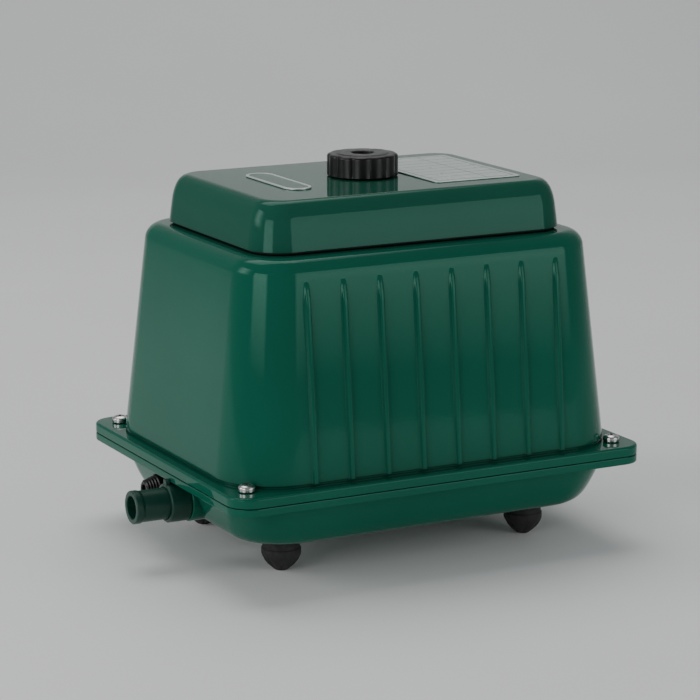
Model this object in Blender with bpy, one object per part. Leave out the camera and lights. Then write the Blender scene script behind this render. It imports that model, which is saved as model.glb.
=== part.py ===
"""Electromagnetic diaphragm air pump for a pond.

A ribbed die-cast housing stands on an air tank with four rubber feet. Under a knob-held cover sits the
air filter, and inside the housing a magnet shuttle drives two diaphragms. Metres, +Z up, z = 0 at the tips
of the feet. The outlet points to -X, and the ribbed long sides face -Y and +Y.
"""

import math

import bmesh
import bpy
from mathutils import Vector

# ---------------------------------------------------------------- driving dimensions, in millimetres
MM = 0.001
GAP = 0.3  # left between pieces that touch

CASE_X = 13.0  # the case's middle, so that the origin is under the middle of the box with the outlet
CASE_Z = 5.0  # lifts the case's own zero off the floor; heights below count from that zero
RIM_HALF = (145.0, 115.0)  # rim where housing and tank are screwed together
RIM_CORNER = 15.0
RIM_TOP = 60.0
RIM_SPLIT = 55.0  # underside of the housing's half of the rim
HOUSING_FOOT = (136.5, 105.0)  # housing wall where it meets the rim
HOUSING_CORNER = 40.0
CORNER_TAPER = 0.07  # how fast the upright corners tighten towards the top
DRAFT = (0.1095, 0.0964)  # wall slope on the short and the long sides
DECK_TOP = 197.0
SHOULDER = 11.0
WALL = 3.5

RIB_PITCH = 25.0
RIBS_PER_SIDE = 8
RIB_WIDTH = 4.4
RIB_HEIGHT = 2.4
RIB_FULL_TOP = 174.0
RIB_TIP = 183.0

TANK_RIM_TOP = 53.4
TANK_RIM_BOTTOM = 48.4
TANK_BOTTOM = 20.0
TANK_WALL = ((134.0, 105.0, 34.0, 48.4), (131.5, 102.5, 36.0, 40.0), (128.5, 99.5, 36.0, 30.0),
             (124.5, 95.5, 34.0, 23.6), (120.0, 91.0, 31.0, 20.8), (116.0, 87.0, 28.0, TANK_BOTTOM))
TANK_INSIDE = ((112.0, 83.0, 25.0, 24.0), (125.0, 96.0, 33.0, 30.5), (129.5, 100.5, 33.0, 49.8),
               (133.8, 103.8, 36.0, 49.8), (133.8, 103.8, 36.0, TANK_RIM_TOP))
TANK_COVER = (50.1, 53.1)

RIM_SCREW = (130.0, 97.0)
SCREW_RADIUS = 2.5
SCREW_HEAD = 5.3
SCREW_HOLE = 3.1

FOOT = (88.0, 58.0)
FOOT_RADIUS = 12.5
FOOT_TIP = 3.5
FOOT_STUD = 3.0
FOOT_SOCKET = 3.4

PORT_Z = 35.0
PORT_FACE = -134.4  # flat boss face on the tank's end, where outlet and gland sit
OUTLET_Y = -16.0
OUTLET_RADIUS = 10.0
OUTLET_BORE = 7.2
OUTLET_MOUTH = -171.0
COLLAR_LENGTH = 14.0
GLAND_Y = 19.0
GLAND_BORE = 3.4

COVER_BOTTOM = 199.5
COVER_TOP = 229.0
COVER_SKIRT = (108.7, 77.4, 22.0)
COVER_EDGE_Z = 213.0
COVER_EDGE = (106.8, 75.5, 20.0)
COVER_FLAT = (96.0, 65.4, 13.0)
COVER_WALL = 3.0
INLETS_X = (-45, 45)  # air inlets in deck and filter tray
BADGE_X = -60.0
PLATE_X = 57.0
NOTCH = 10.0  # width of the air notches in the cover seal

KNOB_RADIUS = 22.75
KNOB_BOTTOM = 229.4
KNOB_TOP = 244.0
KNOB_BORE = 7.0
KNOB_FLUTES = 12
STUD_RADIUS = 4.0
STUD_TOP = 238.5
INSERT_TOP = 237.5

DRIVE_Z = 122.0  # height of the shuttle's axis
BRACKET = (56.0, 60.0)  # from the middle out: frame bracket, diaphragm, valve head, head cover
DIAPHRAGM = (60.3, 62.8)
VALVE_HEAD = (63.1, 83.0)
HEAD_COVER = (83.3, 95.0)
HEAD_RADIUS = 48.0
CHAMBER_RADIUS = 38.0
CHAMBER_END = 73.0
PORT_OFFSET = 27.0  # valve ports above and below the axis
HOSE_X = 89.15

CORNERS = {"front_left": (-1, -1), "front_right": (1, -1), "rear_left": (-1, 1), "rear_right": (1, 1)}
ENDS = {"left": -1, "right": 1}
FACES = {"front": -1, "rear": 1}

for old in list(bpy.data.objects):
    bpy.data.objects.remove(old)
pump = bpy.data.objects.new("pump_middle", None)
pump.location = (CASE_X * MM, 0, CASE_Z * MM)
bpy.context.scene.collection.objects.link(pump)


# ---------------------------------------------------------------- materials
def finish(name, colour, roughness, metallic=0.0):
    material = bpy.data.materials.new(name)
    material.use_nodes = True
    shader = material.node_tree.nodes["Principled BSDF"]
    shader.inputs["Base Color"].default_value = (*colour, 1.0)
    shader.inputs["Roughness"].default_value = roughness
    shader.inputs["Metallic"].default_value = metallic
    return material


CASE_PAINT = finish("case_paint", (0.012, 0.13, 0.085), 0.25)
COVER_PAINT = finish("cover_paint", (0.016, 0.10, 0.062), 0.22)
BLACK_PLASTIC = finish("black_plastic", (0.012, 0.012, 0.014), 0.45)
PIPE_PLASTIC = finish("pipe_plastic", (0.010, 0.035, 0.028), 0.4)
RUBBER = finish("rubber", (0.015, 0.015, 0.015), 0.8)
STAINLESS = finish("stainless_steel", (0.62, 0.62, 0.60), 0.25, 1.0)
BRASS = finish("brass", (0.72, 0.52, 0.22), 0.3, 1.0)
ALUMINIUM = finish("aluminium", (0.70, 0.71, 0.72), 0.4, 1.0)
CORE_STEEL = finish("core_steel", (0.28, 0.28, 0.30), 0.5, 1.0)
COPPER = finish("coil_winding", (0.55, 0.20, 0.07), 0.4, 0.8)
MAGNET = finish("magnet", (0.08, 0.08, 0.09), 0.5, 0.3)
FOAM = finish("filter_foam", (0.05, 0.05, 0.055), 0.95)
WHITE_PLASTIC = finish("terminal_plastic", (0.75, 0.74, 0.70), 0.5)
BADGE = finish("badge_foil", (0.75, 0.80, 0.78), 0.35, 0.4)
PLATE = finish("rating_foil", (0.60, 0.66, 0.63), 0.35, 0.5)


# ---------------------------------------------------------------- shapes: (points, faces) in millimetres
def skin(rings, loop=False, fan=False):
    """Bridges rings of equal length. The ends are capped, with a fan about a middle point or with one face
    each, unless the rings close into a loop."""
    count = len(rings[0])
    points = [point for ring in rings for point in ring]
    faces = []
    for first in range(len(rings) if loop else len(rings) - 1):
        second = (first + 1) % len(rings)
        for i in range(count):
            j = (i + 1) % count
            faces.append((first * count + i, first * count + j, second * count + j, second * count + i))
    if loop:
        return points, faces
    for ring, turn in ((range(count), -1), (range(len(points) - count, len(points)), 1)):
        if fan:
            height = points[ring[0]][2]
            points.append((0.0, 0.0, height))
            hub = len(points) - 1
            faces += [(ring[i - 1], ring[i], hub)[::turn] for i in range(count)]
        else:
            faces.append(tuple(ring)[::turn])
    return points, faces


def joined(shapes):
    """Several shapes that don't touch, as one mesh: for cutters, and for pads that a union then joins."""
    points, faces = [], []
    for shape_points, shape_faces in shapes:
        faces += [tuple(index + len(points) for index in face) for face in shape_faces]
        points += shape_points
    return points, faces


def outline(half_x, half_y, radius, z, rib=None, corner_steps=6):
    """A rounded rectangle, anticlockwise. With rib given, both long sides carry ribs that high."""
    ring = []
    for quarter, (side_x, side_y) in enumerate(((1, 1), (-1, 1), (-1, -1), (1, -1))):
        centre = (side_x * (half_x - radius), side_y * (half_y - radius))
        for step in range(corner_steps + 1):
            turn = math.radians(90 * (quarter + step / corner_steps))
            ring.append((centre[0] + radius * math.cos(turn), centre[1] + radius * math.sin(turn), z))
        if rib is not None and quarter in (0, 2):
            for index in range(RIBS_PER_SIDE):
                middle = side_x * RIB_PITCH * ((RIBS_PER_SIDE - 1) / 2 - index)
                foot, crest = side_x * RIB_WIDTH / 2, side_x * RIB_WIDTH / 4
                ring.append((middle + foot, side_y * half_y, z))
                ring.append((middle + crest, side_y * (half_y + rib), z))
                ring.append((middle - crest, side_y * (half_y + rib), z))
                ring.append((middle - foot, side_y * half_y, z))
    return ring


def turned(profile, steps, loop=False):
    """Turns (radius, z) points about Z. A loop makes a ring with a hole; otherwise both ends are capped."""
    rings = []
    for radius, z in profile:
        turns = [2 * math.pi * i / steps for i in range(steps)]
        rings.append([(radius * math.cos(turn), radius * math.sin(turn), z) for turn in turns])
    return skin(rings, loop)


def rod(start, end, radius, steps=16):
    """A solid cylinder between two points."""
    start, end = Vector(start), Vector(end)
    upright = (end - start).to_track_quat("Z", "Y")
    points, faces = turned([(radius, 0.0), (radius, (end - start).length)], steps)
    return [tuple(start + upright @ Vector(point)) for point in points], faces


def block(low, high):
    ring = [(low[0], low[1]), (high[0], low[1]), (high[0], high[1]), (low[0], high[1])]
    return skin([[(x, y, z) for x, y in ring] for z in (low[2], high[2])])


def tube_along(path, outer, inner, steps=12):
    """A hollow tube whose axis follows the path, in the plane y = constant."""
    rings = {outer: [], inner: []}
    for i, here in enumerate(path):
        ahead, behind = Vector(path[min(i + 1, len(path) - 1)]), Vector(path[max(i - 1, 0)])
        along = (ahead - behind).normalized()
        across = Vector((0, 1, 0))
        up = along.cross(across)
        for radius in (outer, inner):
            turns = [2 * math.pi * k / steps for k in range(steps)]
            offsets = [across * math.cos(turn) + up * math.sin(turn) for turn in turns]
            rings[radius].append([tuple(Vector(here) + radius * offset) for offset in offsets])
    return skin(rings[outer] + rings[inner][::-1], loop=True)


# ---------------------------------------------------------------- objects
def add(name, shape, material=None, place=(0, 0, 0), turn=(0, 0, 0)):
    points, faces = shape
    mesh = bpy.data.meshes.new(name)
    mesh.from_pydata([tuple(value * MM for value in point) for point in points], [], faces)
    editable = bmesh.new()
    editable.from_mesh(mesh)
    bmesh.ops.recalc_face_normals(editable, faces=editable.faces)
    editable.to_mesh(mesh)
    editable.free()
    mesh.shade_smooth()
    mesh.set_sharp_from_angle(angle=math.radians(35))
    if material:
        mesh.materials.append(material)
    piece = bpy.data.objects.new(name, mesh)
    piece.parent = pump
    piece.location = [value * MM for value in place]
    piece.rotation_euler = [math.radians(value) for value in turn]
    bpy.context.scene.collection.objects.link(piece)
    return piece


def boolean(piece, operation, shape):
    helper = add(f"{piece.name}_{operation.lower()}_{len(piece.modifiers)}", shape)
    helper.location, helper.rotation_euler = piece.location, piece.rotation_euler
    helper.hide_render = True
    helper.display_type = "WIRE"
    modifier = piece.modifiers.new(helper.name, "BOOLEAN")
    modifier.operation = operation
    modifier.object = helper
    modifier.solver = "EXACT"


def cut(piece, *shapes):
    boolean(piece, "DIFFERENCE", joined(shapes))


def unite(piece, *shapes):
    for shape in shapes:
        boolean(piece, "UNION", shape)


def screw_bores(low, high):
    spots = [(x * RIM_SCREW[0], y * RIM_SCREW[1]) for x, y in CORNERS.values()]
    return [rod((x, y, low), (x, y, high), SCREW_HOLE, 12) for x, y in spots]


# ---------------------------------------------------------------- housing and tank
def wall_at(z, inset=0.0):
    """Half sizes and corner radius of the housing's outer wall at this height, moved in by inset."""
    rise = z - RIM_TOP
    half_x = HOUSING_FOOT[0] - DRAFT[0] * rise - inset
    half_y = HOUSING_FOOT[1] - DRAFT[1] * rise - inset
    return half_x, half_y, HOUSING_CORNER - CORNER_TAPER * rise - inset


def rounded_edge(start_z, height, reach, steps):
    """(z, inset) along a quarter-round edge that starts on an upright wall."""
    turns = [math.radians(90 * (step + 1) / steps) for step in range(steps)]
    return [(start_z + height * math.sin(turn), reach * (1 - math.cos(turn))) for turn in turns]


def upper_housing():
    shoulder_z = DECK_TOP - SHOULDER
    ceiling = DECK_TOP - WALL
    rings = [outline(*wall_at(shoulder_z, SHOULDER), ceiling, 0),
             outline(*wall_at(shoulder_z, WALL + 2), ceiling - 4, 0),
             outline(*wall_at(shoulder_z - 2, WALL), shoulder_z - 2, 0),
             outline(*wall_at(RIM_TOP, WALL), RIM_SPLIT, 0),
             outline(*RIM_HALF, RIM_CORNER, RIM_SPLIT, 0),
             outline(*RIM_HALF, RIM_CORNER, RIM_TOP - 1.2, 0),
             outline(RIM_HALF[0] - 1.2, RIM_HALF[1] - 1.2, RIM_CORNER - 1.2, RIM_TOP, 0),
             outline(*wall_at(RIM_TOP), RIM_TOP, RIB_HEIGHT),
             outline(*wall_at(RIB_FULL_TOP), RIB_FULL_TOP, RIB_HEIGHT),
             outline(*wall_at(RIB_TIP), RIB_TIP, 0)]
    for z, inset in rounded_edge(shoulder_z, SHOULDER, SHOULDER, 4):
        rings.append(outline(*wall_at(shoulder_z, inset), z, 0))
    housing = add("upper_housing", skin(rings, fan=True), CASE_PAINT)
    inlets = [rod((x, 0, ceiling - 3), (x, 0, DECK_TOP + 3), 11, 20) for x in INLETS_X]
    stud_hole = rod((0, 0, ceiling - 3), (0, 0, DECK_TOP + 3), STUD_RADIUS + GAP, 16)
    cut(housing, stud_hole, *inlets, *screw_bores(RIM_SPLIT - 3, RIM_TOP + 3))


def base_tank():
    rings = [outline(*section) for section in TANK_INSIDE]
    rings += [outline(*RIM_HALF, RIM_CORNER, z) for z in (TANK_RIM_TOP, TANK_RIM_BOTTOM + 1)]
    rings.append(outline(RIM_HALF[0] - 1, RIM_HALF[1] - 1, RIM_CORNER - 1, TANK_RIM_BOTTOM))
    rings += [outline(*section) for section in TANK_WALL]
    tank = add("base_tank", skin(rings), CASE_PAINT)
    spots = [(x * FOOT[0], y * FOOT[1]) for x, y in CORNERS.values()]
    unite(tank, *[rod((x, y, TANK_BOTTOM + 1.5), (x, y, 32), 7.5, 16) for x, y in spots])
    unite(tank, rod((-122, OUTLET_Y, PORT_Z), (PORT_FACE, OUTLET_Y, PORT_Z), 13.2, 24))
    unite(tank, rod((-122, GLAND_Y, PORT_Z), (PORT_FACE, GLAND_Y, PORT_Z), 10.5, 20))
    cut(tank, rod((-110, OUTLET_Y, PORT_Z), (-140, OUTLET_Y, PORT_Z), OUTLET_RADIUS + GAP, 24),
        rod((-110, GLAND_Y, PORT_Z), (-140, GLAND_Y, PORT_Z), 6.3, 16),
        *[rod((x, y, TANK_BOTTOM - 3), (x, y, 29), FOOT_SOCKET, 12) for x, y in spots],
        *screw_bores(TANK_RIM_BOTTOM - 3, TANK_RIM_TOP + 3))


def rim_pieces():
    low, high = TANK_RIM_TOP + GAP, RIM_SPLIT - GAP
    inner, outer = (130.5, 99.5, 33.0), (143.5, 113.5, 13.5)
    loop = [outline(*inner, low), outline(*outer, low), outline(*outer, high), outline(*inner, high)]
    gasket = add("tank_gasket", skin(loop, loop=True), RUBBER)
    cut(gasket, *screw_bores(low - 3, high + 3))
    head = RIM_TOP + GAP
    profile = [(SCREW_RADIUS, TANK_RIM_BOTTOM + 0.6), (SCREW_RADIUS, head), (SCREW_HEAD, head),
               (SCREW_HEAD, head + 3.8), (SCREW_HEAD - 0.8, head + 4.6)]
    for corner, (x, y) in CORNERS.items():
        shape = turned(profile, 12)
        add(f"rim_screw_{corner}", shape, STAINLESS, (x * RIM_SCREW[0], y * RIM_SCREW[1], 0))


def tank_cover():
    low, high = TANK_COVER
    cover = add("tank_cover", skin([outline(133.4, 103.4, 35.6, z) for z in (low, high)]), ALUMINIUM)
    spigots = [rod((side * HOSE_X, 0, low + 1), (side * HOSE_X, 0, 62), 5, 16) for side in ENDS.values()]
    unite(cover, *spigots)
    bores = [rod((side * HOSE_X, 0, low - 3), (side * HOSE_X, 0, 66), 3.5, 12) for side in ENDS.values()]
    conduit_hole = rod((-104, GLAND_Y, low - 3), (-104, GLAND_Y, high + 3), 5.0 + GAP, 14)
    cut(cover, conduit_hole, *bores)


def feet():
    """Push-on rubber feet: a drum over a slightly wider ring, ending in a blunt cone on the floor."""
    top, floor, drum = TANK_BOTTOM - GAP, -CASE_Z, FOOT_RADIUS - 0.8
    profile = [(FOOT_SOCKET, 7.5), (FOOT_SOCKET, top), (drum, top), (drum, 10.0), (FOOT_RADIUS, 9.2)]
    profile += [(FOOT_RADIUS, 5.5), (10.6, 1.8), (7.2, floor + 2.4), (FOOT_TIP + 1.2, floor + 0.5),
                (FOOT_TIP, floor)]
    for corner, (x, y) in CORNERS.items():
        place = (x * FOOT[0], y * FOOT[1], 0)
        add(f"rubber_foot_{corner}", turned(profile, 16), RUBBER, place)
        add(f"foot_stud_{corner}", turned([(FOOT_STUD, 8.0), (FOOT_STUD, 28.5)], 10), STAINLESS, place)


def outlet_and_gland():
    outlet_x = (0, OUTLET_Y, PORT_Z)
    mouth, face = -OUTLET_MOUTH, -PORT_FACE
    outer, bore = OUTLET_RADIUS, OUTLET_BORE
    tube = [(bore, 120), (outer, 120), (outer, mouth - 5), (outer + 0.6, mouth - 4)]
    tube += [(outer + 0.6, mouth - 1.2), (outer, mouth), (bore, mouth)]
    add("outlet_pipe", turned(tube, 24, loop=True), PIPE_PLASTIC, outlet_x, (0, -90, 0))
    hole = outer + GAP
    end = face + COLLAR_LENGTH
    ring = [(hole, face + GAP), (12.4, face + GAP), (12.4, end - 1.5), (11.6, end), (hole, end)]
    collar = add("outlet_collar", turned(ring, 24, loop=True), PIPE_PLASTIC, outlet_x, (0, -90, 0))
    unite(collar, block((11.0, -2.2, end - 3.0), (15.0, 2.2, end - 0.3)))
    gland = [(GLAND_BORE, 122), (6.0, 122), (6.0, face + GAP), (9.0, face + GAP), (9.0, face + 5)]
    gland += [(8.2, face + 6), (7.6, face + 10), (5.6, face + 13), (GLAND_BORE, face + 13)]
    add("cable_gland", turned(gland, 16, loop=True), BLACK_PLASTIC, (0, GLAND_Y, PORT_Z), (0, -90, 0))
    bend, middle = 12.0, (-116.0, GLAND_Y, PORT_Z + 12.0)
    path = [(-121.6, GLAND_Y, PORT_Z)]
    for step in range(6):
        turn = math.radians(90 * step / 5)
        path.append((middle[0] + bend * math.sin(turn), GLAND_Y, middle[2] - bend * math.cos(turn)))
    path.append((-104.0, GLAND_Y, 62.0))
    add("cable_conduit", tube_along(path, 5.0, 3.6), BLACK_PLASTIC)


# ---------------------------------------------------------------- filter, cover and knob
def filter_cover():
    inside, outside = [], []
    steps = 4
    for wall, rings, top in ((COVER_WALL, inside, COVER_TOP - COVER_WALL), (0.0, outside, COVER_TOP)):
        rings.append(outline(*[size - wall for size in COVER_SKIRT], COVER_BOTTOM))
        rings.append(outline(*[size - wall for size in COVER_EDGE], COVER_EDGE_Z))
        for z, share in rounded_edge(COVER_EDGE_Z, top - COVER_EDGE_Z, 1.0, steps):
            sizes = [edge - wall * (1 - share) - share * (edge - flat)
                     for edge, flat in zip(COVER_EDGE, COVER_FLAT)]
            rings.append(outline(*sizes, z))
    cover = add("filter_cover", skin(inside[::-1] + outside), COVER_PAINT)
    cut(cover, rod((0, 0, COVER_TOP - 10), (0, 0, COVER_TOP + 3), STUD_RADIUS + 0.8, 16))
    low = COVER_TOP + GAP
    add("badge", skin([outline(9.2, 35.0, 9.1, z) for z in (low, low + 0.8)]), BADGE, (BADGE_X, 0, 0))
    add("rating_plate", skin([outline(31.0, 50.0, 2.5, z) for z in (low, low + 0.5)]), PLATE, (PLATE_X, 0, 0))


def filter_pieces():
    floor = DECK_TOP + GAP
    tray_floor = floor + 2.0
    rings = [outline(99.5, 68.5, 14, tray_floor), outline(99.5, 68.5, 14, 207), outline(101.5, 70.5, 16, 207),
             outline(101.5, 70.5, 16, floor)]
    tray = add("filter_tray", skin(rings), BLACK_PLASTIC)
    inlets = [rod((x, 0, floor - 3), (x, 0, tray_floor + 3), 12, 20) for x in INLETS_X]
    cut(tray, rod((0, 0, floor - 3), (0, 0, tray_floor + 3), STUD_RADIUS + GAP, 16), *inlets)
    foam = add("filter_element", skin([outline(97.5, 66.5, 12, z) for z in (tray_floor + GAP, 215.0)]), FOAM)
    cut(foam, rod((0, 0, 195), (0, 0, 220), 9.5, 16))
    low, high = floor, COVER_BOTTOM - GAP
    inner, outer = (102.2, 71.2, 16.5), (107.0, 75.7, 20.5)
    loop = [outline(*inner, low), outline(*outer, low), outline(*outer, high), outline(*inner, high)]
    seal = add("cover_seal", skin(loop, loop=True), RUBBER)
    notches = []
    for x in (-66, -22, 22, 66):
        for near, far in ((-90, -60), (60, 90)):
            notches.append(block((x - NOTCH / 2, near, high - 0.8), (x + NOTCH / 2, far, high + 1)))
    cut(seal, *notches)


def knob_section(radius, z):
    """A ring round the knob, waved by shallow flutes."""
    steps = KNOB_FLUTES * 4
    ring = []
    for i in range(steps):
        turn = 2 * math.pi * i / steps
        wave = radius - 0.9 * (1 - math.cos(KNOB_FLUTES * turn)) / 2
        ring.append((wave * math.cos(turn), wave * math.sin(turn), z))
    return ring


def plain_section(radius, z):
    steps = KNOB_FLUTES * 4
    turns = [2 * math.pi * i / steps for i in range(steps)]
    return [(radius * math.cos(turn), radius * math.sin(turn), z) for turn in turns]


def knob_pieces():
    recess_top = KNOB_BOTTOM + 1.9
    rings = [plain_section(KNOB_BORE, KNOB_TOP - 1.0), plain_section(KNOB_BORE, recess_top),
             plain_section(11.6, recess_top), plain_section(11.6, KNOB_BOTTOM),
             knob_section(KNOB_RADIUS - 0.8, KNOB_BOTTOM), knob_section(KNOB_RADIUS, KNOB_BOTTOM + 1),
             knob_section(KNOB_RADIUS, KNOB_TOP - 2.5), knob_section(KNOB_RADIUS - 2.2, KNOB_TOP - 0.5),
             plain_section(15.5, KNOB_TOP), plain_section(KNOB_BORE + 1, KNOB_TOP)]
    add("cover_knob", skin(rings, loop=True), BLACK_PLASTIC)
    bore = STUD_RADIUS + GAP
    outer = KNOB_BORE - GAP
    insert = [(bore, recess_top), (outer, recess_top), (outer, INSERT_TOP), (bore, INSERT_TOP)]
    add("knob_insert", turned(insert, 20, loop=True), BRASS)
    low, high = COVER_TOP + GAP, recess_top - GAP
    washer = [(bore + 0.4, low), (11.0, low), (11.0, high), (bore + 0.4, high)]
    add("knob_washer", turned(washer, 20, loop=True), STAINLESS)
    under_deck = DECK_TOP - WALL - GAP
    collar = DECK_TOP + GAP + 2.0 + GAP
    stud = [(STUD_RADIUS, under_deck - 8), (STUD_RADIUS, collar), (8.0, collar), (8.0, collar + 2.4),
            (STUD_RADIUS, collar + 2.4), (STUD_RADIUS, STUD_TOP - 1), (STUD_RADIUS - 1, STUD_TOP)]
    add("cover_stud", turned(stud, 16), STAINLESS)
    nut = [(bore, under_deck - 6.5), (7.5, under_deck - 6.5), (7.5, under_deck), (bore, under_deck)]
    add("stud_nut", turned(nut, 12, loop=True), STAINLESS)


# ---------------------------------------------------------------- drive
def drive_frame():
    frame = add("drive_frame", block((-62, -58, 66), (62, 58, 70)), ALUMINIUM)
    inner, outer = BRACKET
    for side in ENDS.values():
        low, high = sorted((side * inner, side * outer))
        unite(frame, block((low, -HEAD_RADIUS, 68), (high, HEAD_RADIUS, DRIVE_Z + HEAD_RADIUS)))
    for side in FACES.values():
        low, high = sorted((side * 46, side * 56))
        unite(frame, block((-34, low, 68), (34, high, DRIVE_Z - 23)))
    cut(frame, rod((-70, 0, DRIVE_Z), (70, 0, DRIVE_Z), 36, 32))
    for corner, (x, y) in CORNERS.items():
        profile = [(8, TANK_COVER[1] + GAP), (8, 56.5), (5.5, 58), (5.5, 61), (8, 62.5), (8, 66 - GAP)]
        add(f"vibration_damper_{corner}", turned(profile, 12), RUBBER, (x * 52, y * 47, 0))


def stators():
    """Two E-shaped cores whose legs face the shuttle, each with a winding round its middle leg."""
    low, high = DRIVE_Z - 22.5, DRIVE_Z + 22.5
    for face, side in FACES.items():
        half = [(34, 56), (34, 17), (22, 17), (22, 46), (8, 46), (8, 17)]
        ring = half + [(-x, y) for x, y in reversed(half)]
        core = skin([[(x, side * y, z) for x, y in ring] for z in (low, high)])
        add(f"stator_core_{face}", core, CORE_STEEL)
        loop = []
        for reach, depth in ((0, 20), (12.5, 20), (12.5, 45.4), (0, 45.4)):
            section = outline(8.6 + reach, 23.1 + reach, 1.0 + reach * 0.6, 0, corner_steps=4)
            loop.append([(x, side * depth, DRIVE_Z + y) for x, y, _ in section])
        add(f"coil_{face}", skin(loop, loop=True), COPPER)


def shuttle():
    carrier = add("shuttle", block((-28, -6, DRIVE_Z - 16), (28, 6, DRIVE_Z + 16)), ALUMINIUM)
    unite(carrier, rod((-57.3, 0, DRIVE_Z), (57.3, 0, DRIVE_Z), 5, 16))
    unite(carrier, rod((-67, 0, DRIVE_Z), (67, 0, DRIVE_Z), 3, 16))
    for face, side in FACES.items():
        low, high = sorted((side * (6 + GAP), side * 12.5))
        add(f"magnet_{face}", block((-24, low, DRIVE_Z - 14), (24, high, DRIVE_Z + 14)), MAGNET)
    bore = 3 + GAP
    for end, side in ENDS.items():
        place, turn = (0, 0, DRIVE_Z), (0, side * 90, 0)
        rubber = [(bore, DIAPHRAGM[0]), (24, DIAPHRAGM[0]), (30, DIAPHRAGM[0] - 2.2), (36, DIAPHRAGM[0]),
                  (46, DIAPHRAGM[0]), (46, DIAPHRAGM[1]), (36, DIAPHRAGM[1]), (30, DIAPHRAGM[1] - 2.2),
                  (24, DIAPHRAGM[1]), (bore, DIAPHRAGM[1])]
        add(f"diaphragm_{end}", turned(rubber, 24, loop=True), RUBBER, place, turn)
        inner = [(bore, 57.6), (18, 57.6), (18, DIAPHRAGM[0] - GAP), (bore, DIAPHRAGM[0] - GAP)]
        add(f"inner_disc_{end}", turned(inner, 16, loop=True), ALUMINIUM, place, turn)
        face = DIAPHRAGM[1] + GAP
        outer = [(bore, face), (18, face), (18, face + 1.8), (6, face + 1.8), (6, face + 5), (bore, face + 5)]
        add(f"outer_disc_{end}", turned(outer, 16, loop=True), ALUMINIUM, place, turn)


def valve_flap(name, side, near, port_z):
    thick, radius = 1.5, 7.6
    low, high = sorted((side * near, side * (near + thick)))
    add(name, rod((low, 0, port_z), (high, 0, port_z), radius, 14), RUBBER)


def pump_heads():
    for end, side in ENDS.items():
        place, turn = (0, 0, DRIVE_Z), (0, side * 90, 0)
        inner, outer = VALVE_HEAD
        cup = [(CHAMBER_RADIUS, CHAMBER_END), (CHAMBER_RADIUS, inner), (HEAD_RADIUS, inner),
               (HEAD_RADIUS, outer)]
        head = add(f"valve_head_{end}", turned(cup, 28), BLACK_PLASTIC, place, turn)
        up = -side  # the turn about Y takes local X to the world's -Z or +Z
        ports = [rod((up * offset, 0, CHAMBER_END - 3), (up * offset, 0, outer + 3), 5.5, 14)
                 for offset in (PORT_OFFSET, -PORT_OFFSET)]
        cut(head, *ports)
        near, far = HEAD_COVER
        cover = add(f"head_cover_{end}", turned([(HEAD_RADIUS, near), (HEAD_RADIUS, far)], 28), BLACK_PLASTIC,
                    place, turn)
        down = -up
        unite(cover, rod((down * 44, 0, HOSE_X), (down * 58, 0, HOSE_X), 5, 16))
        pockets = [rod((offset, 0, near - 3), (offset, 0, near + 8), 17, 20) for offset in (24, -24)]
        breather = rod((up * 24, 0, near + 6), (up * 24, 0, far + 3), 8, 14)
        bore = rod((down * 30, 0, HOSE_X), (down * 62, 0, HOSE_X), 3.4, 12)
        cut(cover, *pockets)
        cut(cover, breather)
        cut(cover, bore)
        hose = [(5 + GAP, TANK_COVER[1] + GAP), (8, TANK_COVER[1] + GAP), (8, 73.2), (5 + GAP, 73.2)]
        add(f"air_hose_{end}", turned(hose, 16, loop=True), RUBBER, (side * HOSE_X, 0, 0))
        valve_flap(f"intake_flap_{end}", side, CHAMBER_END - GAP - 1.5, DRIVE_Z + PORT_OFFSET)
        valve_flap(f"exhaust_flap_{end}", side, outer + GAP, DRIVE_Z - PORT_OFFSET)


def terminal_block():
    base = TANK_COVER[1] + GAP
    rings = [[(x, y, z) for x, z in terminal_profile(base)] for y in (70, 84)]
    add("terminal_block", skin(rings), WHITE_PLASTIC)


def terminal_profile(base):
    """Side view of the block: five walls with four wire bays between them."""
    profile = [(24.0, base), (24.0, base + 15)]
    for bay in range(4):
        right = 22.0 - bay * 11.5
        profile += [(right, base + 15), (right, base + 8), (right - 9.5, base + 8), (right - 9.5, base + 15)]
    return profile + [(-24.0, base + 15), (-24.0, base)]


upper_housing()
base_tank()
rim_pieces()
tank_cover()
feet()
outlet_and_gland()
filter_cover()
filter_pieces()
knob_pieces()
drive_frame()
stators()
shuttle()
pump_heads()
terminal_block()
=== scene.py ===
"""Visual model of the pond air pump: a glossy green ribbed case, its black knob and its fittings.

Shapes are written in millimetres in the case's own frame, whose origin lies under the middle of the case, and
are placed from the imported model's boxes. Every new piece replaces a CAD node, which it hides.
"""

import math

import bmesh
import bpy
from mathutils import Matrix, Vector, noise


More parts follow.
